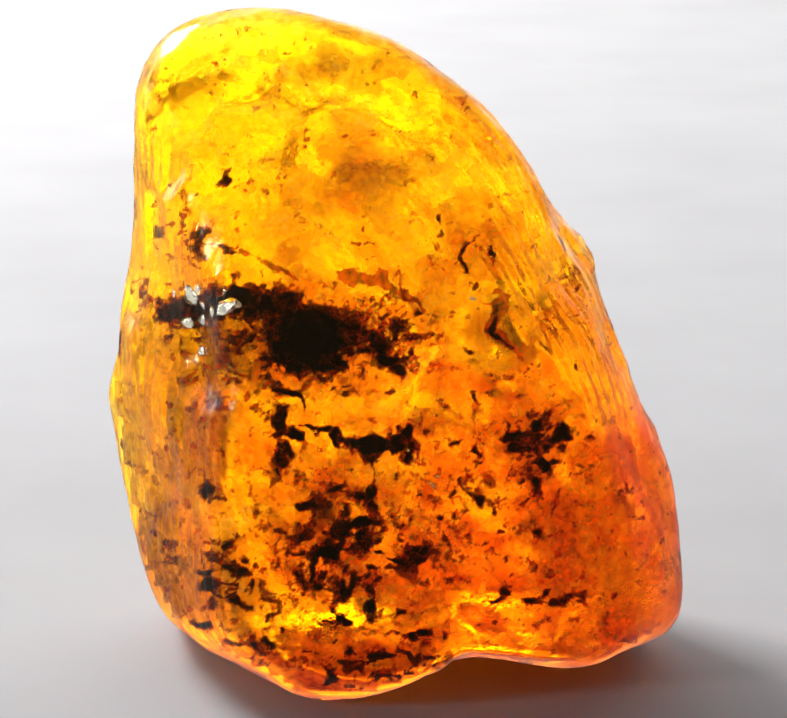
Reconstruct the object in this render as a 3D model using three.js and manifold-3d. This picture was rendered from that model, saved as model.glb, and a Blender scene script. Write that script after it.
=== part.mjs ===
// A raw lump of amber, about 48 mm tall, standing on a small flat foot.
// The lump is one solid. It is described as a stone carver would: worn flat faces, each set by the way
// it looks and its distance from the middle, rounded where they meet, with a few swellings, hollows and
// slow waves pressed into them. Millimetres, +Z up, front towards -Y. The origin is on the floor, under the
// middle of the box around the stone.
import * as THREE from "three";
import { mergeVertices } from "three/addons/utils/BufferGeometryUtils.js";
import Module from "manifold-3d";

const MIDDLE_HEIGHT = 22; // the middle of the lump above the foot
const EDGE_SHARPNESS = 17; // higher makes the edges between faces crisper
const SPHERE_DETAIL = 18; // triangles = 20 * (detail + 1) ^ 2
const GROUND_WIDTH = 120; // the block that cuts the foot flat
const GROUND_DEPTH = 30;

// Worn faces. azimuth 0 looks to the front, 90 to the right (+X); elevation is above the horizon.
const FACES = [
  { name: "front", azimuth: 12, elevation: 4, distance: 14.6 },
  { name: "front upper slope", azimuth: -6, elevation: 41, distance: 19.4 },
  { name: "brow facet", azimuth: 30, elevation: 27, distance: 17.4 },
  { name: "front left side", azimuth: -62, elevation: 2, distance: 18.4 },
  { name: "front right flank", azimuth: 62, elevation: 16, distance: 17 },
  { name: "left chamfer", azimuth: -60, elevation: -32, distance: 25.2 },
  { name: "left under-bevel", azimuth: -24, elevation: -50, distance: 25.8 },
  { name: "right under-bevel", azimuth: 38, elevation: -48, distance: 26.6 },
  { name: "right upper", azimuth: 98, elevation: 33, distance: 16.1 },
  { name: "right middle", azimuth: 94, elevation: 17, distance: 16.6 },
  { name: "right lower", azimuth: 92, elevation: -8, distance: 24.6 },
  { name: "right heel", azimuth: 84, elevation: -50, distance: 33 },
  { name: "top right shoulder", azimuth: 112, elevation: 54, distance: 19.5 },
  { name: "crown", azimuth: 150, elevation: 76, distance: 25.9 },
  { name: "top left shoulder", azimuth: -112, elevation: 57, distance: 29.8 },
  { name: "left upper", azimuth: -92, elevation: 2, distance: 20 },
  { name: "left temple", azimuth: -98, elevation: 31, distance: 32 },
  { name: "left lower", azimuth: -88, elevation: -18, distance: 24.4 },
  { name: "left heel", azimuth: -70, elevation: -58, distance: 29.2 },
  { name: "back", azimuth: 176, elevation: 6, distance: 14.6 },
  { name: "back upper slope", azimuth: 190, elevation: 44, distance: 21.6 },
  { name: "back left", azimuth: -130, elevation: -4, distance: 20 },
  { name: "back right", azimuth: 128, elevation: -6, distance: 19.5 },
  { name: "foot", azimuth: 0, elevation: -90, distance: 22.4 },
];

// Swellings (height above 0) and hollows (below 0) pressed into the worn faces; spread is in degrees.
const RELIEF = [
  { name: "back left lobe", azimuth: -104, elevation: -12, spread: 17, height: 2.2 },
  { name: "left toe", azimuth: -26, elevation: -54, spread: 14, height: 0.7 },
  { name: "notch between toes", azimuth: 26, elevation: -60, spread: 11, height: -2.6 },
  { name: "right hip", azimuth: 84, elevation: -20, spread: 12, height: 1.1 },
  { name: "right knuckle", azimuth: 84, elevation: 29, spread: 8, height: 0.9 },
  { name: "thumb hollow", azimuth: 54, elevation: 29, spread: 9, height: -0.8 },
  { name: "left ledge hollow", azimuth: -50, elevation: 12, spread: 11, height: -0.9 },
];

// Slow waves left by the resin as it set. The crests run across the axis; waves is how many radians of
// wave there are per unit of direction, so 10 puts the crests about 14 mm apart.
const UNDULATIONS = [
  { name: "broad, rising to the right", azimuth: 70, elevation: 40, waves: 9, phase: 0.4, height: 0.16 },
  { name: "broad, rising to the left", azimuth: -50, elevation: 55, waves: 11, phase: 2.1, height: 0.14 },
  { name: "upright", azimuth: 95, elevation: 5, waves: 17, phase: 1.2, height: 0.1 },
  { name: "falling to the right", azimuth: 40, elevation: 58, waves: 19, phase: 0.2, height: 0.07 },
  { name: "slanting", azimuth: 140, elevation: 30, waves: 23, phase: 3, height: 0.08 },
  { name: "steep", azimuth: 10, elevation: -20, waves: 26, phase: 1.7, height: 0.07 },
];

const wasm = await Module();
wasm.setup();

function direction({ azimuth, elevation }) {
  const a = THREE.MathUtils.degToRad(azimuth);
  const e = THREE.MathUtils.degToRad(elevation);
  return new THREE.Vector3(Math.sin(a) * Math.cos(e), -Math.cos(a) * Math.cos(e), Math.sin(e));
}

const faces = FACES.map((face) => ({ ...face, normal: direction(face) }));
const relief = RELIEF.map((mark) => ({ ...mark, centre: direction(mark) }));
const undulations = UNDULATIONS.map((wave) => ({ ...wave, axis: direction(wave) }));

// Distance from the middle to the skin along a unit vector: the worn faces as a rounded polyhedron.
function wornRadius(way) {
  let sum = 0;
  for (const face of faces) {
    const reach = way.dot(face.normal) / face.distance;
    if (reach > 0) sum += reach ** EDGE_SHARPNESS;
  }
  return sum ** (-1 / EDGE_SHARPNESS);
}

function reliefHeight(way) {
  let height = 0;
  for (const mark of relief) {
    const away = THREE.MathUtils.radToDeg(way.angleTo(mark.centre)) / mark.spread;
    height += mark.height * Math.exp(-away * away);
  }
  for (const wave of undulations) {
    height += wave.height * Math.sin(wave.waves * way.dot(wave.axis) + wave.phase);
  }
  return height;
}

function lumpGeometry() {
  const geometry = new THREE.IcosahedronGeometry(1, SPHERE_DETAIL);
  const position = geometry.getAttribute("position");
  const way = new THREE.Vector3();
  for (let i = 0; i < position.count; i++) {
    way.fromBufferAttribute(position, i).normalize();
    const radius = wornRadius(way) + reliefHeight(way);
    way.multiplyScalar(radius);
    position.setXYZ(i, way.x, way.y, way.z + MIDDLE_HEIGHT);
  }
  return geometry;
}

// A closed three.js geometry as a manifold-3d solid, and back.
function toSolid(geometry) {
  const bare = geometry.clone();
  bare.deleteAttribute("normal");
  bare.deleteAttribute("uv");
  const merged = mergeVertices(bare, 1e-4);
  return new wasm.Manifold(
    new wasm.Mesh({
      numProp: 3,
      vertProperties: merged.getAttribute("position").array,
      triVerts: new Uint32Array(merged.index.array),
    }),
  );
}

function toGeometry(solid) {
  const mesh = solid.getMesh();
  return new THREE.BufferGeometry()
    .setAttribute("position", new THREE.BufferAttribute(mesh.vertProperties, 3))
    .setIndex(new THREE.BufferAttribute(mesh.triVerts, 1));
}

// Everything below z = 0, cut away so that the lump stands on a flat foot.
function groundBlock() {
  const block = new THREE.BoxGeometry(GROUND_WIDTH, GROUND_WIDTH, GROUND_DEPTH);
  block.translate(0, 0, -GROUND_DEPTH / 2);
  return toSolid(block);
}

// The cut lump, moved sideways so that the middle of its box stands over the origin.
function stoneGeometry() {
  const geometry = toGeometry(toSolid(lumpGeometry()).subtract(groundBlock()));
  geometry.computeBoundingBox();
  const middle = geometry.boundingBox.getCenter(new THREE.Vector3());
  return geometry.translate(-middle.x, -middle.y, 0);
}

const stone = new THREE.Mesh(
  stoneGeometry(),
  new THREE.MeshStandardMaterial({ color: 0xe07a10, roughness: 0.2, metalness: 0 }),
);
stone.name = "amber_stone";
const group = new THREE.Group();
group.add(stone);
export default group;
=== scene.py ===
"""A raw lump of amber with plant debris sealed in it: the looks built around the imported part.

Metres, +Z up, front towards -Y. What is made, all of it shaped by noise and placed by shares of the stone:

  amber                                    the skin: one closed surface of clear, absorbing resin
  bark_flakes_1, _2, _3                    dark plant debris below the front, in three layers
  stain_halo_1, _2, _3                     thin red-brown edges round that debris
  stained_resin                            red-brown veins and fibres
  brown_haze, olive_haze                   soft stained zones
  back_flakes                              debris below the sides and the back
  sun_spangles                             small flat cracks that flash white
  outer_cloud, middle_cloud, inner_cloud   veils of cloudy resin, one inside another
  back_crust                               a cloudy layer below the back that catches the light from behind
  floor                                    the stage
"""
import math

import bmesh
import bpy
import numpy as np
from mathutils import Matrix, Vector
from mathutils.bvhtree import BVHTree


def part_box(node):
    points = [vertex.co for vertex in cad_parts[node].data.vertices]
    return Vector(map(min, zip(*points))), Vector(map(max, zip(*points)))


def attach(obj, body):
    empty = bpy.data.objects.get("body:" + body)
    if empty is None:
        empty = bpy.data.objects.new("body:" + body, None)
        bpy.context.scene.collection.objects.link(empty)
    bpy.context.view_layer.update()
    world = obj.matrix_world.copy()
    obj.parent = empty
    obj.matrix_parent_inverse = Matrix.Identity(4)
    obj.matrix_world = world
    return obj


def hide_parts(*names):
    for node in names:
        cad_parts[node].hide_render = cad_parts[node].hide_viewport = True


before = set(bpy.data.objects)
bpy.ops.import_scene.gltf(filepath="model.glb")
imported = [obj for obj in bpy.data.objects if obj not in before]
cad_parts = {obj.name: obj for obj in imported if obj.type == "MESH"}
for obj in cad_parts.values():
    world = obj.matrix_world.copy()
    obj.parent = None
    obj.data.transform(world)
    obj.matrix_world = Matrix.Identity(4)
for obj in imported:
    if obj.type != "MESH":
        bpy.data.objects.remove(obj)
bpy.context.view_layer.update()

MM = 0.001
LOW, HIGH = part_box("amber_stone")
SIZE = HIGH - LOW

# Camera: a close-up from slightly above, aimed a little below the middle of the stone's height.
CAMERA_ELEVATION = math.radians(15)
CAMERA_DISTANCE = 230 * MM
CAMERA_LENS = 142
SENSOR_WIDTH = 36
AIM_SHARE = 0.457
SEEN_OVER_TALL = 1.063  # how high the stone looks from the camera, over how tall it is
MIDDLE = Vector(((LOW.x + HIGH.x) / 2, (LOW.y + HIGH.y) / 2, LOW.z + AIM_SHARE * SIZE.z))

# Stage and lights.
FLOOR_HALF = 1.5
FRONT_SOFTBOX = (-0.48, -0.17, 0.17)  # the spangles are turned so that they mirror it

# The skin.
AMBER_IOR = 1.54
SKIN_VOXEL = 0.32 * MM
SKIN_MARGIN = 0.12 * MM  # nothing sealed in the resin comes nearer to the skin than this
CHIPS = 110
BACK_WAY = np.array([0.1, 0.97, 0.1])  # the way the weathered back faces
FLANK_WAY = np.array([0.80, -0.52, 0.28])  # the way the ribbed right flank faces
SIDE_WAY = np.array([-0.88, -0.47, 0.0])  # the way the lined left side faces
ACROSS_RIBS = np.array([0.62, 0.72, 0.31])
ACROSS_LINES = np.array([0.5, -0.86, 0.08])
RIB_SPACING = 1.15 * MM
LINE_SPACING = 1.3 * MM
RIB_HEIGHT = 0.1 * MM
LINE_HEIGHT = 0.035 * MM
PAINTED_GLOW_SHOULDER = (0.82, 0.65)  # the shares of the width and height where a painted glow makes the right flank yellowest
PAINTED_GLOW_REACH = 0.19

# The debris: sheets cut out of noise.
FRONT_CAST_STEP = 0.6 * MM
FRONT_REFINED = 5
FIRST_SHARE = 0.005  # where the grid over the seen width and height starts
DEBRIS_LAYERS = [(0.55, 0.2), (1.1, 0.35), (1.9, 0.5)]  # depth below the skin and waviness, in millimetres
LEAST_DEPTH = 0.25  # of a wavy layer below the skin, in millimetres
TEAR = 0.45  # how strongly the noise tears debris up
DEBRIS_LEVEL = 0.76  # what flakes, crowds and noise have to add up to for debris to be there
FULL_VALUE = 0.5  # how far above that level a patch has its full thickness
HALO_LIFT = 0.2
SMALLEST_ISLAND = 5  # triangles
BACK_CROWDS = 90
SPANGLE_DEPTH = 0.15 * MM
SPANGLE_THICKNESS = 0.06 * MM
SPANGLE_TILT = 0.02
SPANGLE_RAGGED = 0.18
CRUMPLE = 0.045  # of a spangle, over its size
CRUST_WAY = np.array([-0.1, 0.93, 0.35])  # the way the crust's middle faces
CRUST_DEPTH = 1.5 * MM

HUE_SCALE = 1500  # of the changes of hue in a film, per metre

# Colours, and greys for roughness and opacity, as (position, colour) along a value.
# The skin's tints along its hue: pale where the painted glow is, deep orange where the painted shade is,
# the resin's own tone between.
TINTS_WITH_PAINTED_LIGHT = [
    (0.0, (1.0, 1.0, 0.8)), (0.25, (1.0, 0.9, 0.5)), (0.5, (0.98, 0.66, 0.25)), (1.0, (0.90, 0.34, 0.05)),
]
WEARS = [(0.4, 0.05), (0.62, 0.2)]
BARKS = [(0.25, (0.50, 0.075, 0.005)), (0.6, (0.13, 0.02, 0.003)), (0.95, (0.018, 0.004, 0.001))]
BARK_EDGES = [(0.2, 0.12), (0.75, 1.0)]
SILVERS = [(0.35, (0.82, 0.80, 0.95)), (0.6, (1.0, 1.0, 1.0))]
RED_BROWNS = [(0.35, (0.14, 0.016, 0.002)), (0.65, (0.50, 0.075, 0.004))]
STAIN_EDGES = [(0.35, 0.0), (0.7, 0.85)]
BROWNS = [(0.35, (0.35, 0.075, 0.004)), (0.65, (0.75, 0.22, 0.01))]
OLIVES = [(0.35, (0.24, 0.13, 0.012)), (0.65, (0.55, 0.36, 0.03))]
HAZE_EDGES = [(0.3, 0.0), (0.85, 0.75)]
# The veils' hues along their mesh's hue: the palest stop paints a glow high on the left.
CLOUDS_WITH_PAINTED_GLOW = [
    (0.32, (1.0, 0.98, 0.60)), (0.55, (1.0, 0.86, 0.10)), (0.8, (1.0, 0.58, 0.03)),
    (1.0, (0.95, 0.34, 0.01)),
]
CLOUD_EDGES = [(0.48, 0.0), (0.62, 0.65)]
CRUSTS = [(0.35, (1.0, 0.66, 0.06)), (0.5, (1.0, 0.88, 0.22)), (0.65, (1.0, 0.96, 0.45))]
CRUST_EDGES = [(0.4, 0.0), (0.8, 0.85)]
FLOOR_GREYS = [(0.3, (0.150, 0.148, 0.150)), (0.7, (0.162, 0.160, 0.162))]

RANDOM = np.random.default_rng(41)

# What is sealed in the resin, as seen from the front. across and up are shares of the stone's seen width
# and height; lengths and widths are in millimetres; an angle of 0 lies level and 90 stands upright.
# The places of the flakes and the paths of the strands weren't written by hand: they were read off the
# photo by eye, in its pixels, and a scratch program turned them into these shares and millimetres.

# Torn flakes of bark and leaf: (across, up, length, width, angle).
TOP_LEFT_FLAKES = [
    (0.21, 0.76, 1.6, 0.9, 60), (0.10, 0.69, 1.8, 0.8, 15), (0.17, 0.66, 2.2, 1.3, 70),
    (0.22, 0.66, 1.5, 0.8, -20),
]
DARK_PATCH_FLAKES = [
    (0.58, 0.70, 0.8, 0.5, 80), (0.58, 0.68, 0.4, 0.25, 80), (0.61, 0.52, 1.1, 0.8, -30),
    (0.55, 0.41, 0.8, 0.6, 60), (0.43, 0.54, 3.4, 0.5, -12), (0.50, 0.50, 2.2, 0.8, -12),
    (0.46, 0.51, 1.6, 0.9, 10), (0.51, 0.48, 1.5, 0.7, -40), (0.30, 0.42, 0.9, 0.7, 60),
    (0.30, 0.40, 1.5, 1, 80), (0.33, 0.39, 1.2, 0.8, -30), (0.31, 0.37, 0.7, 0.5, 0),
    (0.60, 0.57, 0.35, 0.25, 0), (0.54, 0.57, 0.9, 0.3, -10), (0.42, 0.40, 0.5, 0.4, 0),
    (0.50, 0.45, 0.6, 0.5, 0), (0.58, 0.43, 0.35, 0.3, 0),
]
UPPER_RIGHT_FLAKES = [
    (0.63, 0.61, 1.1, 0.9, -40), (0.70, 0.48, 1.2, 0.55, -15), (0.67, 0.45, 2.2, 0.35, 0),
    (0.72, 0.45, 0.45, 0.4, 0), (0.64, 0.44, 1.5, 0.3, -50), (0.81, 0.48, 0.9, 0.45, 65),
    (0.74, 0.42, 0.9, 0.6, 20), (0.75, 0.41, 1.3, 0.8, 50), (0.63, 0.51, 0.4, 0.3, 0),
]
LOWER_RIGHT_FLAKES = [
    (0.53, 0.39, 0.9, 0.5, 30), (0.56, 0.40, 0.7, 0.5, 10), (0.61, 0.38, 0.6, 0.45, 50),
    (0.64, 0.37, 0.6, 0.4, -60), (0.66, 0.36, 0.35, 0.25, 0), (0.72, 0.38, 2.3, 1.2, -20),
    (0.70, 0.39, 1.3, 0.7, 20), (0.79, 0.39, 1.3, 1, 60), (0.76, 0.35, 1.3, 0.45, 10),
    (0.74, 0.33, 2, 0.8, -75), (0.72, 0.29, 1.5, 0.5, 40), (0.74, 0.31, 1.1, 0.5, 60),
    (0.82, 0.34, 0.8, 0.3, 20), (0.58, 0.27, 0.7, 0.5, -30), (0.53, 0.27, 0.9, 0.35, 60),
    (0.69, 0.25, 0.8, 0.6, -10), (0.74, 0.25, 0.9, 0.55, 20), (0.69, 0.21, 0.65, 0.6, -60),
    (0.71, 0.19, 0.45, 0.4, 0), (0.69, 0.16, 1.2, 0.6, 75), (0.67, 0.15, 1.4, 0.35, 5),
    (0.73, 0.15, 1.3, 0.6, -15), (0.76, 0.16, 1.7, 0.4, 35), (0.79, 0.15, 2.6, 0.55, 5),
    (0.82, 0.15, 1, 0.6, 25), (0.88, 0.23, 0.45, 0.3, 60), (0.53, 0.21, 2.4, 1.3, 25),
    (0.55, 0.22, 1.4, 0.5, 30), (0.84, 0.35, 0.5, 0.3, 0), (0.85, 0.20, 0.5, 0.3, 60),
    (0.86, 0.27, 0.4, 0.25, 30), (0.92, 0.19, 0.4, 0.3, 10),
]
MIDDLE_FLAKES = [
    (0.46, 0.24, 1, 1.2, 10), (0.46, 0.15, 1.9, 0.75, -80), (0.32, 0.36, 1.5, 1.2, 75),
    (0.30, 0.34, 1.4, 0.9, 45), (0.29, 0.32, 0.8, 0.5, 70), (0.34, 0.29, 1.7, 0.6, -5),
    (0.37, 0.29, 1.3, 0.6, -10), (0.40, 0.31, 0.9, 0.4, 30), (0.46, 0.31, 1.1, 0.5, 80),
    (0.46, 0.29, 1.7, 0.8, -85), (0.43, 0.26, 3.1, 0.55, 8), (0.45, 0.24, 1, 0.8, 80),
    (0.41, 0.25, 1, 0.7, -20), (0.39, 0.22, 1.1, 0.8, 60), (0.32, 0.22, 0.6, 0.5, 40),
    (0.34, 0.22, 1.2, 0.28, -12), (0.36, 0.19, 1.3, 0.4, 85), (0.37, 0.17, 1.1, 0.5, -20),
    (0.38, 0.18, 0.7, 0.35, 60), (0.41, 0.17, 1.4, 0.4, 85), (0.43, 0.17, 1.3, 0.4, 80),
    (0.41, 0.15, 1.7, 0.8, 30),
]
LOWER_LEFT_FLAKES = [
    (0.18, 0.31, 1.4, 1, -60), (0.20, 0.30, 1.7, 0.35, -5), (0.12, 0.21, 2.2, 0.9, -65),
    (0.19, 0.24, 0.7, 0.5, 40), (0.21, 0.23, 0.5, 0.4, 0), (0.22, 0.23, 0.5, 0.35, 0),
    (0.18, 0.19, 1.2, 0.35, 8), (0.22, 0.20, 1.3, 0.55, -15), (0.25, 0.21, 0.9, 0.5, 40),
    (0.25, 0.19, 1, 0.9, 0), (0.25, 0.17, 1, 0.35, 85), (0.18, 0.17, 1.1, 0.5, -30),
    (0.19, 0.16, 0.8, 0.4, -20),
]
BOTTOM_FLAKES = [
    (0.59, 0.10, 1, 0.8, 20), (0.52, 0.13, 1, 0.5, -20), (0.51, 0.10, 2.6, 0.5, -4),
    (0.54, 0.10, 1.6, 0.65, 6), (0.90, 0.09, 1.1, 0.8, 30), (0.63, 0.06, 2.4, 0.6, 8),
    (0.66, 0.05, 1.8, 0.8, -10), (0.73, 0.06, 0.7, 0.35, 0), (0.42, 0.12, 1, 0.7, -10),
    (0.39, 0.12, 1.5, 0.5, 20), (0.24, 0.14, 1.3, 0.45, -30), (0.28, 0.13, 0.8, 0.5, -25),
    (0.17, 0.11, 1.7, 0.5, -25), (0.29, 0.09, 1, 0.8, 0), (0.31, 0.11, 0.5, 0.3, -50),
    (0.43, 0.08, 1, 0.6, -20), (0.40, 0.09, 0.9, 0.4, 15), (0.48, 0.07, 2.6, 0.6, 5),
    (0.53, 0.07, 1.6, 1.5, 0), (0.43, 0.05, 2.5, 0.6, 20), (0.50, 0.04, 2.3, 1, 5),
    (0.39, 0.03, 2, 0.8, 5), (0.34, 0.06, 1.6, 0.4, -20), (0.27, 0.08, 1.8, 0.4, -25),
    (0.23, 0.09, 2, 0.5, -22), (0.94, 0.13, 0.5, 0.25, -20), (0.78, 0.08, 0.7, 0.3, 0),
]

FLAKES = TOP_LEFT_FLAKES + DARK_PATCH_FLAKES + UPPER_RIGHT_FLAKES + LOWER_RIGHT_FLAKES
FLAKES += MIDDLE_FLAKES + LOWER_LEFT_FLAKES + BOTTOM_FLAKES

# Where debris crowds together: (name, across, up, spread across, spread up, strength). At a strength of
# about 1 the resin is black with it, and at 0.3 it is sprinkled.
CROWDS = [
    ("dark patch, core", 0.35, 0.53, 0.055, 0.034, 2.0),
    ("dark patch, upper band", 0.24, 0.58, 0.09, 0.02, 1.3),
    ("dark patch, left", 0.14, 0.57, 0.04, 0.03, 0.8),
    ("dark patch, below left", 0.22, 0.53, 0.05, 0.02, 0.55),
    ("dark patch, right", 0.48, 0.53, 0.06, 0.035, 0.66),
    ("dark patch, fringe", 0.30, 0.46, 0.08, 0.03, 0.42),
    ("below the bright window", 0.31, 0.38, 0.03, 0.06, 0.5),
    ("top left corner", 0.17, 0.69, 0.05, 0.05, 0.25),
    ("middle", 0.40, 0.24, 0.075, 0.07, 0.56),
    ("middle smudge", 0.54, 0.21, 0.035, 0.025, 0.55),
    ("left", 0.21, 0.20, 0.045, 0.05, 0.44),
    ("right smudge", 0.74, 0.37, 0.045, 0.035, 0.5),
    ("right streak", 0.79, 0.15, 0.05, 0.012, 0.45),
    ("bottom band", 0.44, 0.052, 0.10, 0.014, 0.3),
    ("lower half", 0.58, 0.27, 0.2, 0.14, 0.22),
    ("lower left", 0.30, 0.20, 0.16, 0.12, 0.27),
]

# Where the resin is stained red-brown, in the same form.
STAINS = [
    ("round the dark patch", 0.40, 0.54, 0.13, 0.035, 0.42),
    ("veins above it", 0.45, 0.615, 0.07, 0.016, 0.45),
    ("brown zone, left", 0.18, 0.47, 0.06, 0.08, 0.5),
    ("round the middle smudge", 0.55, 0.20, 0.05, 0.045, 0.36),
    ("round the right smudge", 0.73, 0.37, 0.045, 0.045, 0.34),
    ("bottom", 0.45, 0.06, 0.14, 0.03, 0.4),
    ("notch", 0.69, 0.06, 0.05, 0.015, 0.35),
    ("right corner", 0.88, 0.09, 0.035, 0.02, 0.35),
    ("twisted fibre", 0.68, 0.54, 0.02, 0.04, 0.3),
    ("lower right", 0.74, 0.22, 0.12, 0.10, 0.18),
    ("middle", 0.38, 0.28, 0.10, 0.10, 0.2),
]

# Soft brown haze in the resin, in the same form.
HAZES = [
    ("below the dark patch", 0.36, 0.49, 0.10, 0.03, 0.7),
    ("round the patch", 0.35, 0.55, 0.12, 0.05, 0.7),
    ("middle", 0.40, 0.26, 0.09, 0.09, 0.55),
    ("middle smudge", 0.55, 0.20, 0.06, 0.05, 0.75),
    ("right smudge", 0.74, 0.37, 0.06, 0.05, 0.7),
    ("right", 0.80, 0.27, 0.10, 0.09, 0.45),
    ("bottom", 0.42, 0.05, 0.16, 0.04, 1.0),
    ("bottom right", 0.75, 0.07, 0.12, 0.025, 0.7),
    ("facet below the upper right ridge", 0.64, 0.67, 0.06, 0.05, 0.5),
    ("right corner", 0.90, 0.10, 0.05, 0.03, 0.6),
    ("upper right rim", 0.66, 0.87, 0.06, 0.05, 0.5),
]

# Soft olive haze, in the same form.
OLIVE_HAZES = [
    ("left of the dark patch", 0.17, 0.52, 0.07, 0.05, 0.9),
    ("left side", 0.16, 0.40, 0.05, 0.07, 0.6),
    ("lower left", 0.18, 0.17, 0.08, 0.05, 0.6),
    ("far left", 0.04, 0.38, 0.035, 0.12, 0.7),
    ("far left, low", 0.08, 0.20, 0.05, 0.10, 0.95),
    ("upper swirl", 0.45, 0.755, 0.07, 0.045, 0.5),
    ("top", 0.42, 0.93, 0.10, 0.03, 0.45),
]

# Strands of root, bark and fibre: (name, across, up, path, radii), the path as steps in millimetres to the
# right and up from the first point, the radii in millimetres from end to end.
DARK_STRANDS = [
    ("hooked bar", 0.403, 0.388,
     [(0, 0), (1, -0.3), (2.2, -0.6), (3.4, -0.7), (4.4, -0.7), (5, -0.9)], [0.4, 0.7, 0.78, 0.74, 0.8]),
    ("hook of the bar", 0.518, 0.357,
     [(0, 0), (-0.1, 0.7), (-0.3, 1.6), (-0.4, 2.6)], [0.6, 0.65, 0.5, 0.2]),
    ("tail of the bar", 0.343, 0.402, [(0, 0), (1.1, 0.1), (2.1, -0.2), (2.9, -0.8)], [0.08, 0.16, 0.3]),
    ("curled left", 0.638, 0.669,
     [(0, 0), (-0.6, -0.6), (-0.8, -1.3), (-0.5, -2.2)], [0.1, 0.3, 0.25, 0.1]),
    ("curled right", 0.662, 0.660, [(0, 0), (0.1, -0.6), (0.4, -1.3)], [0.2, 0.25, 0.1]),
    ("curved hook", 0.612, 0.325,
     [(0, 0), (0.6, -0.9), (1.4, -1.4), (2.4, -1.6), (2.8, -2.4)], [0.08, 0.16, 0.28, 0.42, 0.2]),
    ("arc", 0.295, 0.454, [(0, 0), (1.3, -0.2), (2.1, -0.7), (2.4, -1.7)], [0.08, 0.14, 0.12, 0.06]),
    ("small arc", 0.389, 0.457, [(0, 0), (0.7, 0.4), (1.5, 0.3)], [0.06, 0.1, 0.05]),
    ("ring", 0.372, 0.298,
     [(0, 0), (0.5, -0.3), (0.4, -0.9), (-0.1, -1), (-0.4, -0.4), (0, 0)], [0.1, 0.12, 0.1]),
    ("crossbar", 0.190, 0.173, [(0, 0), (0.9, 0.1), (1.8, 0)], [0.06, 0.07, 0.06]),
    ("sickle", 0.190, 0.155, [(0, 0), (0.9, 0.1), (1.6, 0.6)], [0.05, 0.09, 0.05]),
    ("vein", 0.461, 0.277, [(0, 0), (-0.4, -0.7), (-1.5, -1), (-2.5, -1)], [0.08, 0.12, 0.1]),
    ("upper root", 0.465, 0.316, [(0, 0), (0.1, 1), (-0.1, 1.7)], [0.12, 0.06, 0.03]),
    ("lower root", 0.338, 0.193, [(0, 0), (0.4, -0.7), (0.1, -1.5)], [0.05, 0.08, 0.04]),
    ("thread", 0.424, 0.299, [(0, 0), (0.9, 0.1), (1.5, -0.4)], [0.05, 0.09, 0.06]),
    ("whisker", 0.475, 0.222, [(0, 0), (0.9, -0.6), (1.6, -0.7)], [0.08, 0.14, 0.2]),
    ("twisted fibre, core", 0.679, 0.590,
     [(0.1, -0.4), (0.1, -1.4), (-0.3, -2.3), (-0.6, -2.9), (0.3, -3.3), (1.2, -3.9)],
     [0.08, 0.17, 0.12, 0.19, 0.14, 0.08]),
    ("bottom seam, left", 0.338, 0.077,
     [(0, 0), (3, -0.7), (6.3, -0.9), (9.6, -0.6), (11.5, -0.9)], [0.06, 0.12, 0.15, 0.1, 0.06]),
    ("bottom seam, right", 0.604, 0.060,
     [(0, 0), (1.5, -0.3), (3.3, 0), (5.6, 0.7)], [0.08, 0.12, 0.1, 0.04]),
]
BROWN_STRANDS = [
    ("twisted fibre", 0.679, 0.595,
     [(0, 0), (0.4, -0.5), (0.1, -1.4), (-0.3, -2.3), (-0.6, -2.9), (0.3, -3.3), (1.2, -3.9), (2, -5)],
     [0.25, 0.45, 0.4, 0.5, 0.45, 0.38, 0.32, 0.2]),
    ("twisted fibre, branch", 0.657, 0.576, [(0, 0), (0.8, 0.1), (1.3, 0.3)], [0.06, 0.14, 0.1]),
    ("hair", 0.799, 0.341, [(0, 0), (-0.7, -1.4), (-1.1, -2.6), (-1.5, -3.6)], [0.06, 0.07, 0.05]),
    ("hair, side", 0.799, 0.341, [(0, 0), (0.8, -0.1), (1.6, 0.1)], [0.06, 0.1, 0.05]),
    ("long thread", 0.235, 0.570, [(0, 0), (0.7, -1.3), (1.6, -2.2)], [0.05, 0.06, 0.04]),
    ("top vein", 0.240, 0.653, [(0, 0), (1.4, -0.5), (3.1, -1.4), (4.2, -1.6)], [0.25, 0.4, 0.3, 0.2]),
    ("right vein", 0.403, 0.626,
     [(0, 0), (1.3, -0.6), (3.1, -0.7), (5, -1.6), (6.4, -2.8)], [0.2, 0.5, 0.45, 0.3, 0.15]),
    ("middle vein", 0.389, 0.527, [(0, 0), (1.6, 0.6), (3.4, 0.1), (5, -1.2)], [0.3, 0.6, 0.45, 0.25]),
    ("line", 0.561, 0.527, [(0, 0), (1.1, -1.1), (1.6, -2.2)], [0.04, 0.06, 0.03]),
    ("short line", 0.449, 0.433, [(0, 0), (0.5, -0.7), (0.7, -1.3)], [0.03, 0.05, 0.03]),
]

# Windows of clearer, yellower resin: (across, up, width, height, angle).
HONEY_WINDOWS = [
    (0.27, 0.47, 2.4, 2.4, 0), (0.20, 0.28, 6, 3.2, 0), (0.31, 0.12, 5, 4.5, 0), (0.55, 0.44, 7, 2, -5),
    (0.42, 0.45, 5, 2, 0), (0.07, 0.40, 1.6, 6, 5), (0.34, 0.36, 1.6, 2.4, 0), (0.60, 0.53, 3, 2, -20),
    (0.53, 0.71, 1.8, 6, -35), (0.64, 0.745, 7, 1.6, -15), (0.44, 0.66, 6, 2.5, 10),
    (0.48, 0.59, 5, 1.6, -15), (0.10, 0.62, 1.6, 8, 0), (0.45, 0.14, 4, 3, 0), (0.50, 0.34, 4, 2, 0),
    (0.66, 0.30, 3, 2, 30), (0.79, 0.60, 15, 2, -68), (0.72, 0.72, 5, 1.1, -38), (0.36, 0.84, 8, 1.8, 10),
    (0.20, 0.74, 2.2, 5, 0), (0.33, 0.64, 5, 1.5, 8), (0.56, 0.915, 1.6, 0.8, 0),
    (0.67, 0.50, 3.5, 1.6, 10), (0.09, 0.46, 1.2, 6, 0), (0.33, 0.72, 3, 4, 20), (0.84, 0.47, 6, 1, -65),
    (0.75, 0.60, 5, 0.8, -72),
]

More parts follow.
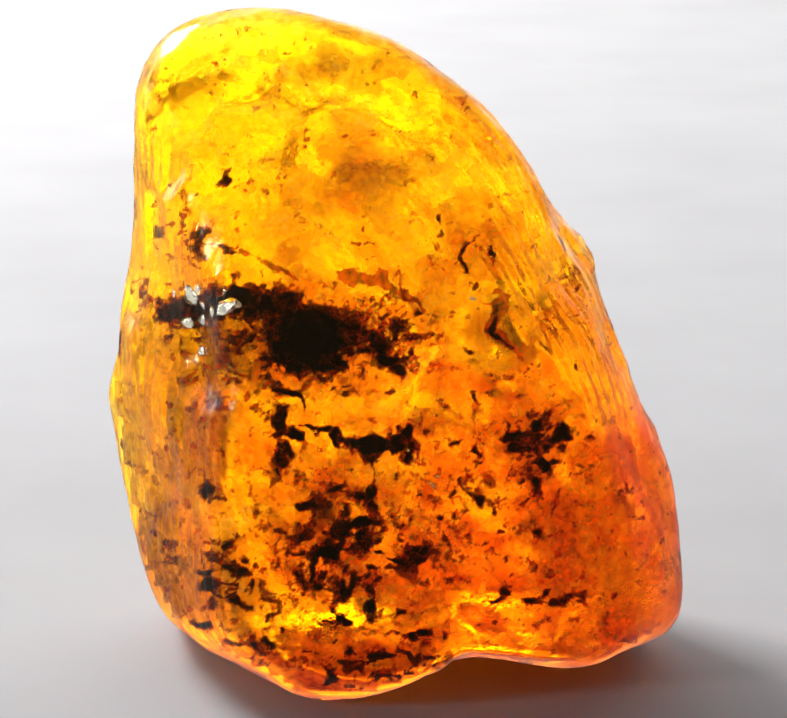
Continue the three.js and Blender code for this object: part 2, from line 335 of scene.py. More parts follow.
# Patches of deeper orange, in the same form.
DEEP_PATCHES = [
    (0.65, 0.67, 4.5, 5, 0), (0.45, 0.93, 9, 2.6, -16), (0.60, 0.84, 7, 3, -42),
    (0.77, 0.645, 2.2, 3.2, 10), (0.18, 0.44, 4, 5, 0), (0.70, 0.79, 6, 2, -55), (0.58, 0.47, 4, 2.4, 0),
    (0.25, 0.36, 2.4, 4, 0), (0.87, 0.33, 4, 6, 0), (0.57, 0.18, 4, 3, 0), (0.93, 0.36, 2, 9, 0),
]

# Flat cracks that flash white: (across, up, length, width, angle).
SPANGLES = [
    (0.123, 0.595, 0.7, 0.6, 0), (0.150, 0.592, 1.9, 1.6, 10), (0.163, 0.600, 1.0, 0.8, 30),
    (0.172, 0.578, 0.8, 0.7, 0), (0.188, 0.568, 1.1, 0.8, 20), (0.210, 0.575, 2.1, 1.2, 15),
    (0.228, 0.580, 0.9, 0.7, 0), (0.147, 0.552, 1.1, 1.0, 0), (0.173, 0.556, 1.2, 0.9, 0),
    (0.172, 0.512, 1.1, 0.7, 20), (0.567, 0.318, 0.9, 0.25, -35), (0.575, 0.330, 0.6, 0.2, -15),
    (0.635, 0.588, 0.6, 0.3, -10), (0.525, 0.368, 0.3, 0.25, 0),
]


# ---------------------------------------------------------------- noise

def hash_lattice(cells, seed):
    """A repeatable random number from -1 to 1 for each whole-number lattice point."""
    x, y, z = (cells[:, k].astype(np.int64) for k in range(3))
    h = (x * 73856093) ^ (y * 19349663) ^ (z * 83492791) ^ (seed * 2654435761)
    h = (h ^ (h >> 13)) * 1274126177
    h = (h ^ (h >> 16)) & 0xFFFFFF
    return h / float(0x7FFFFF) - 1.0


def noise(points, wavelength, seed):
    """Smooth noise from about -1 to 1 at each point; wavelength is the size of one blob, in metres."""
    p = np.asarray(points) / wavelength + 1000.0
    base = np.floor(p).astype(np.int64)
    f = p - base
    f = f * f * f * (f * (f * 6 - 15) + 10)
    total = np.zeros(len(p))
    for corner in range(8):
        offset = np.array([corner & 1, (corner >> 1) & 1, (corner >> 2) & 1])
        weight = np.prod(np.where(offset, f, 1 - f), axis=1)
        total += weight * hash_lattice(base + offset, seed)
    return total


def octaves(points, wavelength, seed, count=3, fade=0.5):
    """Noise added up at ever smaller wavelengths, each weaker than the one before."""
    total = np.zeros(len(points))
    for k in range(count):
        total += fade**k * noise(points, wavelength / 2**k, seed + k)
    return total


def smoothstep(low, high, value):
    """A soft step from 0 at low to 1 at high."""
    t = np.clip((value - low) / (high - low), 0, 1)
    return t * t * (3 - 2 * t)


# ---------------------------------------------------------------- mesh helpers

def get_points(mesh):
    points = np.empty(len(mesh.vertices) * 3)
    mesh.vertices.foreach_get("co", points)
    return points.reshape(-1, 3)


def set_points(mesh, points):
    mesh.vertices.foreach_set("co", np.asarray(points, dtype=np.float32).ravel())
    mesh.update()


def get_normals(mesh):
    normals = np.empty(len(mesh.vertices) * 3)
    mesh.vertices.foreach_get("normal", normals)
    return normals.reshape(-1, 3)


def get_triangles(mesh):
    mesh.calc_loop_triangles()
    triangles = np.empty(len(mesh.loop_triangles) * 3, dtype=np.int32)
    mesh.loop_triangles.foreach_get("vertices", triangles)
    return triangles.reshape(-1, 3)


def add_layer(mesh, name, values):
    """One number per vertex, for the materials to read."""
    layer = mesh.attributes.new(name, "FLOAT", "POINT")
    layer.data.foreach_set("value", values.astype(np.float32))


def add_object(name, mesh, material):
    """An object with one material, shaded smooth."""
    piece = bpy.data.objects.new(name, mesh)
    bpy.context.scene.collection.objects.link(piece)
    mesh.materials.clear()
    mesh.materials.append(material)
    mesh.shade_smooth()
    return piece


def add_inclusion(name, mesh, material):
    """A piece that is sealed in the amber."""
    piece = add_object(name, mesh, material)
    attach(piece, "root")


def apply_modifiers(piece):
    """Make what the modifiers do part of the piece's own mesh."""
    graph = bpy.context.evaluated_depsgraph_get()
    mesh = bpy.data.meshes.new_from_object(piece.evaluated_get(graph))
    piece.modifiers.clear()
    piece.data = mesh


def tree_of(mesh):
    """The mesh as a tree that can be asked for the nearest point or a ray's hit."""
    mesh.calc_loop_triangles()
    triangles = [tuple(t.vertices) for t in mesh.loop_triangles]
    return BVHTree.FromPolygons([v.co.copy() for v in mesh.vertices], triangles)


# ---------------------------------------------------------------- camera

def view_axes():
    """Right, up and away, as the camera sees them."""
    right = Vector((1, 0, 0))
    away = Vector((0, math.cos(CAMERA_ELEVATION), -math.sin(CAMERA_ELEVATION)))
    return right, right.cross(away), away


RIGHT, UP, AWAY = view_axes()
EYE = MIDDLE - AWAY * CAMERA_DISTANCE
SEEN_WIDTH = SIZE.x
SEEN_HEIGHT = SEEN_OVER_TALL * SIZE.z


def make_camera():
    data = bpy.data.cameras.new("camera")
    data.lens = CAMERA_LENS
    data.sensor_width = SENSOR_WIDTH
    data.clip_start = 5 * MM
    camera = bpy.data.objects.new("camera", data)
    bpy.context.scene.collection.objects.link(camera)
    turn = Matrix((RIGHT, UP, -AWAY)).transposed().to_4x4()
    camera.matrix_world = Matrix.Translation(EYE) @ turn
    bpy.context.scene.camera = camera


# ---------------------------------------------------------------- the amber skin

def cut_scallops(points, normals):
    """Shallow conchoidal chips: what stands above a slightly tilted plane is pressed down to it."""
    random = np.random.default_rng(5)
    points = points.copy()
    soft = 0.08 * MM
    for _ in range(CHIPS):
        pick = random.integers(len(points))
        tilt = random.normal(size=3) * 0.07
        normal = normals[pick] + tilt
        normal /= np.linalg.norm(normal)
        depth = random.uniform(0.05, 0.26) * MM
        reach = random.uniform(2.5, 8) * MM
        near = np.linalg.norm(points - points[pick], axis=1)
        height = (points - points[pick]) @ normal + depth
        cut = soft * np.log1p(np.exp(np.clip(height / soft, -30, 30)))
        fade = 1 - smoothstep(0.6 * reach, reach, near)
        points -= normal * (cut * fade)[:, None]
    return points


def flank_and_side(points, normals):
    """How far each point is on the ribbed right flank, and on the lined left side."""
    height = (points[:, 2] - LOW.z) / SIZE.z
    on_flank = smoothstep(0.62, 0.9, normals @ FLANK_WAY) * smoothstep(0.36, 0.5, height)
    on_flank *= 1 - smoothstep(0.84, 0.93, height)
    on_side = smoothstep(0.7, 0.95, normals @ SIDE_WAY) * (1 - smoothstep(0.78, 0.9, height))
    return on_flank, on_side


def rib_lines(points):
    """Waves from about -1.6 to 1.6: the ribs down the right flank and the lines up the left side."""
    warp = noise(points, 6 * MM, 81) * 0.5 * MM + noise(points, 2.2 * MM, 82) * 0.2 * MM
    turns = 2 * math.pi * (points @ ACROSS_RIBS + warp) / RIB_SPACING
    ribs = np.sin(turns) + 0.6 * np.sin(2.3 * turns)
    turns = 2 * math.pi * (points @ ACROSS_LINES + 0.8 * warp) / LINE_SPACING
    lines = np.sin(turns) + 0.6 * np.sin(2.2 * turns)
    return ribs, lines


def rib_height(points, normals):
    """How far the ribs and lines lift the skin."""
    on_flank, on_side = flank_and_side(points, normals)
    ribs, lines = rib_lines(points)
    fade = 0.35 + 0.65 * smoothstep(-0.4, 0.5, noise(points, 3 * MM, 83))
    return fade * (RIB_HEIGHT * on_flank * ribs + LINE_HEIGHT * on_side * lines)


def seen_places(points):
    """Where the camera sees each point: metres to the right and up from MIDDLE, at MIDDLE's distance."""
    eye, away = np.array(EYE), np.array(AWAY)
    rays = points - eye
    aside = rays * (CAMERA_DISTANCE / (rays @ away))[:, None] + eye - np.array(MIDDLE)
    return aside @ np.array(RIGHT), aside @ np.array(UP)


def from_oval(x, y, length, width, angle):
    """The squared distance from the middle of an oval: 1 at its edge."""
    c, s = math.cos(math.radians(angle)), math.sin(math.radians(angle))
    along = (x * c + y * s) / (length / 2 * MM)
    over = (y * c - x * s) / (width / 2 * MM)
    return along**2 + over**2


def add_hue_and_painted_light(mesh):
    """The resin's hue from yellow to deep orange, with painted light in it: a painted glow high on the
    left, on the right flank's ribs and shoulder and on the left side's lines, and painted shade low on the
    right and along the bottom.
    Its noise, windows and deeper patches are the resin's own tone.
    """
    points, normals = get_points(mesh), get_normals(mesh)
    share = (points - np.array(LOW)) / np.array(SIZE)
    # A painted glow high on the left and painted shade low on the right, deepest along the bottom.
    hue_and_painted_light = 0.28 + 0.95 * share[:, 0] - 0.72 * share[:, 2] + 0.7 * smoothstep(0.18, 0.0, share[:, 2])
    hue_and_painted_light += 0.12 * octaves(points, 9 * MM, 91, 3) + 0.26 * octaves(points, 2.6 * MM, 95, 3, 0.6)
    on_flank, on_side = flank_and_side(points, normals)
    ribs, lines = rib_lines(points)
    # Painted glow along the right flank's ribs and the left side's lines.
    hue_and_painted_light -= on_flank * (0.66 + 0.42 * ribs) + on_side * (0.45 + 0.2 * lines)
    # A painted glow round the right flank's shoulder.
    from_painted_glow_shoulder = np.hypot(share[:, 0] - PAINTED_GLOW_SHOULDER[0], share[:, 2] - PAINTED_GLOW_SHOULDER[1])
    hue_and_painted_light -= 0.8 * np.exp(-(from_painted_glow_shoulder / PAINTED_GLOW_REACH)**2)
    right, rise = seen_places(points)
    facing = smoothstep(0.0, -0.4, normals @ np.array(AWAY))
    for change, rows in ((-0.95, HONEY_WINDOWS), (0.4, DEEP_PATCHES)):
        for across, up, *oval in rows:
            x = right - (across - 0.5) * SEEN_WIDTH
            y = rise - (up - 0.5) * SEEN_HEIGHT
            hue_and_painted_light += change * facing * np.exp(-from_oval(x, y, *oval))
    add_layer(mesh, "hue_and_painted_light", np.clip(hue_and_painted_light, 0, 1))


def welded_lump():
    """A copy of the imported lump's mesh with its shared corners joined."""
    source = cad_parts["amber_stone"].data.copy()
    work = bmesh.new()
    work.from_mesh(source)
    bmesh.ops.remove_doubles(work, verts=work.verts, dist=0.001 * MM)
    work.to_mesh(source)
    work.free()
    return source


def remeshed_lump():
    """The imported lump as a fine, even, slightly relaxed mesh."""
    piece = bpy.data.objects.new("unfinished skin", welded_lump())
    bpy.context.scene.collection.objects.link(piece)
    remesh = piece.modifiers.new("remesh", "REMESH")
    remesh.mode = "VOXEL"
    remesh.voxel_size = SKIN_VOXEL
    relax = piece.modifiers.new("relax", "SMOOTH")
    relax.iterations = 12
    relax.factor = 0.5
    apply_modifiers(piece)
    mesh = piece.data
    bpy.data.objects.remove(piece)
    return mesh


def relief(points, normals):
    """How far the waves, grain, pits, creases and ribs lift the skin, more so on the weathered back."""
    weathered = smoothstep(-0.1, 0.7, normals @ BACK_WAY)
    height = 0.06 * MM * (1 + weathered) * octaves(points, 4.5 * MM, 11, 3)
    height += 0.03 * MM * (1 + 1.5 * weathered) * octaves(points, 1.5 * MM, 21, 3, 0.6)
    pits = np.clip(noise(points, 1.1 * MM, 31) - 0.55 + 0.15 * weathered, 0, 1)
    height -= 0.12 * MM * pits
    creases = smoothstep(0.82, 0.98, 1 - np.abs(octaves(points, 6 * MM, 41, 2)))
    height -= 0.14 * MM * weathered * creases
    height += rib_height(points, normals)
    return height


def make_skin(material):
    """The visible amber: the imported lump, remeshed finely, chipped, ribbed and pitted."""
    mesh = remeshed_lump()
    points = cut_scallops(get_points(mesh), get_normals(mesh))
    set_points(mesh, points)
    normals = get_normals(mesh)
    foot = points[:, 2] < 0.05 * MM
    points = points + normals * relief(points, normals)[:, None]
    points[foot, 2] = 0
    points[:, 2] = np.maximum(points[:, 2], 0)
    set_points(mesh, points)
    rind = smoothstep(-0.1, 0.7, get_normals(mesh) @ BACK_WAY)
    rind *= 0.55 + 0.45 * smoothstep(-0.5, 0.4, octaves(points, 7 * MM, 61, 3))
    add_layer(mesh, "rind", rind)
    # The skin's hue, with painted glow and painted shade in it.
    add_hue_and_painted_light(mesh)
    skin = add_object("amber", mesh, material)
    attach(skin, "root")
    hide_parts("amber_stone")
    return skin


def keep_inside(points):
    """Points moved, where they have to be, to lie below the skin."""
    kept = np.array(points)
    for i, point in enumerate(points):
        hit, normal, _, _ = SKIN_TREE.find_nearest(Vector(point))
        if (Vector(point) - hit).dot(normal) > -SKIN_MARGIN:
            kept[i] = hit - normal * SKIN_MARGIN
    return kept


def aim(across, up):
    """The camera's ray towards a share of the stone's seen width and height."""
    aside = RIGHT * (across - 0.5) * SEEN_WIDTH + UP * (up - 0.5) * SEEN_HEIGHT
    return (MIDDLE + aside - EYE).normalized()


def spot(across, up, depth):
    """A place seen through the skin: across and up are shares of the stone's width and height as the
    camera sees it, depth is how far below the skin, along the bent ray. Returns place and skin normal."""
    ray = aim(across, up)
    hit, _, _, _ = SKIN_TREE.ray_cast(EYE, ray)
    calm = calm_normal(hit)
    return hit + refract(ray, calm) * depth, calm


def calm_normal(hit):
    """The skin's normal averaged over a millimetre or so, without its fine pits."""
    total = Vector((0, 0, 0))
    for _, normal, _, _ in SKIN_TREE.find_nearest_range(hit, 0.9 * MM):
        total += normal
    return total.normalized()


def refract(ray, normal):
    """The way a ray runs on inside the amber."""
    ratio = 1 / AMBER_IOR
    cosine = -normal.dot(ray)
    inner = 1 - ratio * ratio * (1 - cosine * cosine)
    return (ray * ratio + normal * (ratio * cosine - math.sqrt(inner))).normalized()


# ---------------------------------------------------------------- shapes sealed in the resin

def ball():
    """The corners and faces of a ball of radius 1."""
    work = bmesh.new()
    bmesh.ops.create_icosphere(work, subdivisions=2, radius=1)
    points = np.array([v.co for v in work.verts])
    faces = [tuple(v.index for v in f.verts) for f in work.faces]
    work.free()
    return points, faces


def ragged_disc(points, length, width, thickness, ragged, axes):
    """A ball's corners pressed into a flat, crumpled disc with a ragged outline, along the given axes."""
    seed = int(RANDOM.integers(1, 9999))
    angle = np.arctan2(points[:, 1], points[:, 0])
    outline = np.ones(len(points))
    for k in (2, 3, 5, 8):
        outline += ragged / math.sqrt(k) * np.sin(k * angle + RANDOM.uniform(0, 6.28))
    outline = np.clip(outline, 0.25, 1.9)
    stretch = [outline * length / 2, outline * width / 2, np.full(len(points), thickness / 2)]
    size = max(length, width)
    where = points * size + seed
    crumple = np.stack([noise(where, size * 0.55, seed + k) for k in range(3)], 1)
    crumple += 0.5 * np.stack([noise(where, size * 0.25, seed + 7 + k) for k in range(3)], 1)
    return points * np.stack(stretch, 1) @ axes + crumple * size * CRUMPLE


def catmull(path, t):
    """A smooth curve through the corners of a path, at t corners from its start."""
    i = min(int(t), len(path) - 2)
    f = t - i
    p0, p1, p2, p3 = path[max(i - 1, 0)], path[i], path[i + 1], path[min(i + 2, len(path) - 1)]
    square = 2 * p0 - 5 * p1 + 4 * p2 - p3
    cube = 3 * p1 - p0 - 3 * p2 + p3
    return 0.5 * (2 * p1 + (p2 - p0) * f + square * f * f + cube * f**3)


def axes_on(normal, angle, tilt):
    """Axes of a flat thing that lies along the skin with its length at an angle to the level."""
    n = np.array(normal) + RANDOM.normal(size=3) * tilt
    n /= np.linalg.norm(n)
    a = math.radians(angle)
    along = np.array(RIGHT) * math.cos(a) + np.array(UP) * math.sin(a)
    along -= n * (along @ n)
    along /= np.linalg.norm(along)
    return np.stack([along, np.cross(n, along), n])


# ---------------------------------------------------------------- debris

def cast_front():
    """Where the camera's rays meet the skin and which way they run on inside it, over a grid of shares.
    A ray that misses has no numbers."""
    across = np.arange(FIRST_SHARE, 1, FRONT_CAST_STEP / SEEN_WIDTH)
    up = np.arange(FIRST_SHARE, 1, FRONT_CAST_STEP / SEEN_HEIGHT)
    found = np.full((len(up), len(across), 6), np.nan)
    for i, v in enumerate(up):
        for j, u in enumerate(across):
            ray = aim(u, v)
            hit, _, _, _ = SKIN_TREE.ray_cast(EYE, ray)
            if hit is not None:
                found[i, j] = (*hit, *refract(ray, calm_normal(hit)))
    return found


def refine(grid, times):
    """A grid with more rows and columns, filled in linearly."""
    rows = np.linspace(0, grid.shape[0] - 1, (grid.shape[0] - 1) * times + 1)
    columns = np.linspace(0, grid.shape[1] - 1, (grid.shape[1] - 1) * times + 1)
    i = np.minimum(rows.astype(int), grid.shape[0] - 2)
    j = np.minimum(columns.astype(int), grid.shape[1] - 2)
    a = (rows - i)[:, None, None]
    b = (columns - j)[None, :, None]
    low = grid[i][:, j] * (1 - b) + grid[i][:, j + 1] * b
    high = grid[i + 1][:, j] * (1 - b) + grid[i + 1][:, j + 1] * b
    return low * (1 - a) + high * a


class FrontSheet:
    """A fine sheet below the part of the skin that the camera sees, at no depth yet."""

    def __init__(self):
        grid = refine(cast_front(), FRONT_REFINED)
        rows, columns = grid.shape[:2]
        seen = np.isfinite(grid[..., 0])
        inner = seen.copy()
        inner[1:-1, 1:-1] &= seen[:-2, 1:-1] & seen[2:, 1:-1] & seen[1:-1, :-2] & seen[1:-1, 2:]
        inner[[0, -1]] = False
        inner[:, [0, -1]] = False
        self.inner = inner.ravel()
        self.skin = np.nan_to_num(grid[..., :3].reshape(-1, 3))
        self.way = np.nan_to_num(grid[..., 3:].reshape(-1, 3))
        step = FRONT_CAST_STEP / FRONT_REFINED
        right, rise = np.meshgrid(np.arange(columns) * step, np.arange(rows) * step)
        start = FIRST_SHARE * np.array([SEEN_WIDTH, SEEN_HEIGHT])
        self.flat = np.stack([right.ravel(), rise.ravel()], 1) + start
        corner = (np.arange(rows - 1)[:, None] * columns + np.arange(columns - 1)).ravel()
        lower = np.stack([corner, corner + 1, corner + columns + 1], 1)
        upper = np.stack([corner, corner + columns + 1, corner + columns], 1)
        self.triangles = np.concatenate([lower, upper])

    def crowding(self, flat, crowds):
        """How crowded each place is: the strongest of the crowds there."""
        total = np.zeros(len(flat))
        for _, across, up, wide, high, strength in crowds:
            x = (flat[:, 0] / SEEN_WIDTH - across) / wide
            y = (flat[:, 1] / SEEN_HEIGHT - up) / high
            total = np.maximum(total, strength * np.exp(-0.5 * (x * x + y * y)))
        return total

    def flakes(self, flat, rows):
        """1 in the middle of a flake and 0 away from all of them."""
        clear = np.ones(len(flat))
        for across, up, *oval in rows:
            x = flat[:, 0] - across * SEEN_WIDTH
            y = flat[:, 1] - up * SEEN_HEIGHT
            near = np.flatnonzero(np.hypot(x, y) < 1.6 * oval[0] * MM)
            clear[near] *= 1 - np.exp(-0.7 * from_oval(x[near], y[near], *oval))
        return 1 - clear

    def strands(self, flat, rows):
        """1 along the middle of a strand and 0 away from all of them."""
        clear = np.ones(len(flat))
        for _, across, up, steps, radii in rows:
            corners = np.array([(across * SEEN_WIDTH, up * SEEN_HEIGHT)]) + np.array(steps) * MM
            turns = np.linspace(0, len(steps) - 1, 12 * (len(steps) - 1) + 1)
            line = np.array([catmull(corners, turn) for turn in turns])
            sizes = np.interp(turns / turns[-1], np.linspace(0, 1, len(radii)), radii) * MM
            room = 3 * max(radii) * MM
            low, high = line.min(axis=0) - room, line.max(axis=0) + room
            near = np.flatnonzero(np.all((flat > low) & (flat < high), axis=1))
            apart = np.linalg.norm(flat[near][:, None] - line[None], axis=2) / sizes
            clear[near] *= 1 - np.exp(-0.7 * apart.min(axis=1) ** 2)
        return 1 - clear

    def debris(self, rows, strands, seed, lift=0.0, crowds=CROWDS):
        """Above zero where there is debris: flakes, strands and crowds, torn up by noise."""
        flat = np.column_stack([self.flat, np.full(len(self.flat), seed * 7.3 * MM)])
        warp = np.stack([octaves(flat, 1.6 * MM, seed + 50, 3), octaves(flat, 1.6 * MM, seed + 60, 3)], 1)
        bent = self.flat + 0.35 * MM * warp
        torn = np.column_stack([bent, flat[:, 2]])
        rough = octaves(torn, 1.0 * MM, seed, 5, 0.7) + 0.15
        rough -= 0.6 * np.abs(noise(torn, 0.8 * MM, seed + 20))
        shapes = 1 - (1 - self.flakes(bent, rows)) * (1 - 1.2 * self.strands(bent, strands))
        value = shapes + self.crowding(bent, crowds) + TEAR * rough - DEBRIS_LEVEL + lift
        return np.where(self.inner, value, -1.0)

    def haze(self, crowds, seed):
        """Above zero where there is haze, with soft wavy edges."""
        value = self.crowding(self.flat, crowds) + 0.16 * octaves(self.skin, 2.4 * MM, seed, 4, 0.6) - 0.2
        return np.where(self.inner, value, -1.0)

    def place(self, depth, waviness, seed):
        """The sheet's points at a depth that rises and falls by the waviness, both in millimetres."""
        sink = depth * MM + waviness * MM * octaves(self.skin, 3 * MM, seed, 2)
        return self.skin + self.way * np.maximum(sink, LEAST_DEPTH * MM)[:, None]


def drop_specks(triangles, count):
    """The triangles of islands that have at least SMALLEST_ISLAND of them."""
    label = np.arange(count)
    settled = False
    while not settled:
        lower = label.copy()
        np.minimum.at(lower, triangles.ravel(), np.repeat(label[triangles].min(axis=1), 3))
        lower = lower[lower]
        settled = np.array_equal(lower, label)
        label = lower
    island = label[triangles[:, 0]]
    return triangles[np.bincount(island)[island] >= SMALLEST_ISLAND]


def cut_at_zero(columns, triangles, value):
    """The part of a sheet where a value is above zero, cut where it is zero. The columns are what is kept
    of each point, such as its place. Returns columns, triangles and values of that part."""
    above = value > 0
    known = above[triangles].sum(axis=1)
    ends, new_triangles = [], [triangles[known == 3]]
    # A cut triangle has one odd corner, a: the only one above, or the only one not above.
    for wanted, odd in ((1, True), (2, False)):
        some = triangles[known == wanted]
        turn = np.argmax(above[some] == odd, axis=1)
        first = np.arange(len(some))
        a, b, c = (some[first, (turn + k) % 3] for k in range(3))
        ends.append((a, b, c))
    edges = np.concatenate([np.stack(pair, 1) for a, b, c in ends for pair in ((a, b), (a, c))])
    unique, places = np.unique(np.sort(edges, axis=1), axis=0, return_inverse=True)
    places = places.ravel() + len(value)
    share = value[unique[:, 0]] / (value[unique[:, 0]] - value[unique[:, 1]])
    crossing = columns[unique[:, 0]] * (1 - share)[:, None] + columns[unique[:, 1]] * share[:, None]
    (a1, _, _), (_, b2, c2) = ends
    one, two = len(a1), len(b2)
    tip_b, tip_c = places[:one], places[one:2 * one]
    side_b, side_c = places[2 * one:2 * one + two], places[2 * one + two:]
    new_triangles.append(np.stack([a1, tip_b, tip_c], 1))
    new_triangles.append(np.stack([side_b, b2, c2], 1))
    new_triangles.append(np.stack([side_b, c2, side_c], 1))
    triangles = np.concatenate(new_triangles)
    columns = np.concatenate([columns, crossing])
    value = np.concatenate([value, np.zeros(len(unique))])
    triangles = drop_specks(triangles, len(value))
    used, triangles = np.unique(triangles, return_inverse=True)
    return columns[used], triangles.reshape(-1, 3), value[used]


def make_patches(name, points, ways, triangles, value, thickness, material):
    """Patches wherever a value is above zero: closed lens-shaped bodies, thickest where the value is high.
    The thickness is in millimetres, and with none they are single sheets."""
    kept, triangles, value = cut_at_zero(np.hstack([points, ways]), triangles, value)
    full = np.clip(value / FULL_VALUE, 0, 1)
    middle, way = kept[:, :3], kept[:, 3:]
    if thickness:
        half = thickness / 2 * MM * np.sqrt(full)
        half += 0.04 * MM * np.abs(noise(middle, 0.35 * MM, 71)) * (full > 0)
        inner = np.flatnonzero(full > 0)
        below = np.arange(len(full))
        below[inner] = len(full) + np.arange(len(inner))
        faces = np.concatenate([triangles, below[triangles][:, ::-1]])
        places = np.concatenate([middle - way * half[:, None], (middle + way * half[:, None])[inner]])
        full = np.concatenate([full, full[inner]])
    else:
        faces, places = triangles, middle
    mesh = bpy.data.meshes.new(name)
    mesh.from_pydata(keep_inside(places).tolist(), [], faces.tolist())
    add_layer(mesh, "thickness", full)
    add_inclusion(name, mesh, material)


def make_front_debris(dark):
    """Dark debris and its red-brown edges in layers, then the hazes, the veins and the fibres."""
    stained = film_material("stained resin", 900, RED_BROWNS, STAIN_EDGES, 0.7)
    brown = film_material("brown haze", 500, BROWNS, HAZE_EDGES, 0.7)
    olive = film_material("olive haze", 500, OLIVES, HAZE_EDGES, 0.7)
    sheet = FrontSheet()
    ways, triangles = sheet.way, sheet.triangles
    layers = len(DEBRIS_LAYERS)
    for k, (depth, waviness) in enumerate(DEBRIS_LAYERS):
        seed = 10 + 100 * k
        here = (FLAKES[k::layers], DARK_STRANDS[k::layers], seed)
        points = sheet.place(depth, waviness, seed)
        value = sheet.debris(*here)
        make_patches(f"bark_flakes_{k + 1}", points, ways, triangles, value, 0.3, dark)
        behind = points + ways * 0.3 * MM
        halo = sheet.debris(*here, HALO_LIFT)
        make_patches(f"stain_halo_{k + 1}", behind, ways, triangles, halo, 0, stained)
    kinds = (("brown_haze", HAZES, brown, 601), ("olive_haze", OLIVE_HAZES, olive, 641))
    for name, crowds, material, seed in kinds:
        haze = sheet.haze(crowds, seed)
        points = sheet.place(2.4, 0.6, seed + 9)
        make_patches(name, points, ways, triangles, haze, 0, material)
    stain = sheet.debris([], BROWN_STRANDS, 410, 0.12, STAINS)
    points = sheet.place(1.5, 0.5, 410)
    make_patches("stained_resin", points, ways, triangles, stain, 0, stained)


def make_back_debris(dark):
    """Debris through the sides and the back, in crowds of its own."""
    random = np.random.default_rng(17)
    points, normals = get_points(SKIN), get_normals(SKIN)
    crowding = np.zeros(len(points))
    for _ in range(BACK_CROWDS):
        place = points[random.integers(len(points))]
        reach = random.uniform(1.5, 5) * MM
        strength = random.uniform(0.3, 0.75)
        apart = np.linalg.norm(points - place, axis=1) / reach
        crowding = np.maximum(crowding, strength * np.exp(-0.5 * apart**2))
    rough = octaves(points, 1.6 * MM, 501, 4, 0.6) + 0.15
    rough -= 0.6 * np.abs(noise(points, 1.4 * MM, 521))
    away_from_front = smoothstep(-0.25, 0.1, normals @ np.array(AWAY))
    low = smoothstep(0.95, 0.7, points[:, 2] / HIGH.z)
    value = crowding + 0.5 * rough - 0.52 - 0.6 * (1 - away_from_front) - 0.3 * (1 - low)
    sink = (0.8 + 0.4 * octaves(points, 3 * MM, 531, 2)) * MM
    inside = points - normals * np.maximum(sink, 0.3 * MM)[:, None]
    triangles = get_triangles(SKIN)
    make_patches("back_flakes", inside, -normals, triangles, value, 0.4, dark)


def make_spangles():
    """Flat cracks just below the skin, each turned so that the camera sees the front softbox in it."""
    corners, faces = ball()
    all_points, all_faces = [], []
    for across, up, length, width, angle in SPANGLES:
        centre, normal = spot(across, up, SPANGLE_DEPTH)
        seen_way = refract((centre - EYE).normalized(), normal)
        lamp_way = refract((centre - Vector(FRONT_SOFTBOX)).normalized(), normal)
        flash = -(seen_way + lamp_way).normalized()
        axes = axes_on(flash, angle, SPANGLE_TILT)
        disc = ragged_disc(corners, length * MM, width * MM, SPANGLE_THICKNESS, SPANGLE_RAGGED, axes)
        first = len(corners) * len(all_points)
        all_points.append(np.array(centre) + disc)
        all_faces.extend([tuple(i + first for i in face) for face in faces])
    mesh = bpy.data.meshes.new("sun_spangles")
    mesh.from_pydata(keep_inside(np.concatenate(all_points)).tolist(), [], all_faces)
    mesh.update()
    add_inclusion("sun_spangles", mesh, spangle_material())


# ---------------------------------------------------------------- materials

class Graph:
    """A material and its nodes, which are made, set and joined in one step."""

    def __init__(self, name):
        self.material = bpy.data.materials.new(name)
        self.material.use_nodes = True
        self.tree = self.material.node_tree
        self.tree.nodes.clear()

    def fill(self, node, socket, content):
        """Join another node's output to a socket, or set a plain value on it."""
        if isinstance(content, bpy.types.NodeSocket):
            self.tree.links.new(content, node.inputs[socket])
        else:
            node.inputs[socket].default_value = content

    def add(self, kind, contents, result=0):
        """The output of a new node, whose sockets are filled from a dictionary."""
        node = self.tree.nodes.new(kind)
        for socket, content in contents.items():
            self.fill(node, socket, content)
        return node.outputs[result]

    def noise(self, scale, detail=4, roughness=0.55):
        """Noise whose blobs are about 1 / scale metres across."""
        where = self.add("ShaderNodeTexCoord", {}, "Object")
        contents = {"Vector": where, "Scale": scale, "Detail": detail, "Roughness": roughness}
        return self.add("ShaderNodeTexNoise", contents, "Fac")

    def layer(self, name):
        """One of the numbers that the meshes carry per vertex."""
        node = self.tree.nodes.new("ShaderNodeAttribute")
        node.attribute_name = name
        return node.outputs["Fac"]

    def ramp(self, stops, value):
        """A colour for each value; a stop with a single number is a grey."""
        node = self.tree.nodes.new("ShaderNodeValToRGB")
        self.fill(node, "Fac", value)
        elements = node.color_ramp.elements
        while len(elements) < len(stops):
            elements.new(0.5)
        for element, (position, colour) in zip(elements, stops):
            element.position = position
            element.color = (*colour, 1) if isinstance(colour, tuple) else (colour, colour, colour, 1)
        return node.outputs["Color"]

    def multiply_add(self, value, factor, addend):
        node = self.tree.nodes.new("ShaderNodeMath")
        node.operation = "MULTIPLY_ADD"
        for socket, content in enumerate((value, factor, addend)):
            self.fill(node, socket, content)
        return node.outputs[0]

    def mix(self, share, first, second):
        """Two shaders in one: the share is that of the second."""
        return self.add("ShaderNodeMixShader", {0: share, 1: first, 2: second})

    def finish(self, surface, volume=None):
        output = self.tree.nodes.new("ShaderNodeOutputMaterial")
        self.fill(output, "Surface", surface)
        if volume is not None:
            self.fill(output, "Volume", volume)
        return self.material

    def finish_film(self, surface, opacity):
        """Finish as a film that is clear where its opacity is low."""
        # Straight shadow rays end at the amber's skin anyway: light gets in by refraction.
        self.material.use_transparent_shadow = False
        clear = self.add("ShaderNodeBsdfTransparent", {})
        return self.finish(self.mix(opacity, clear, surface))


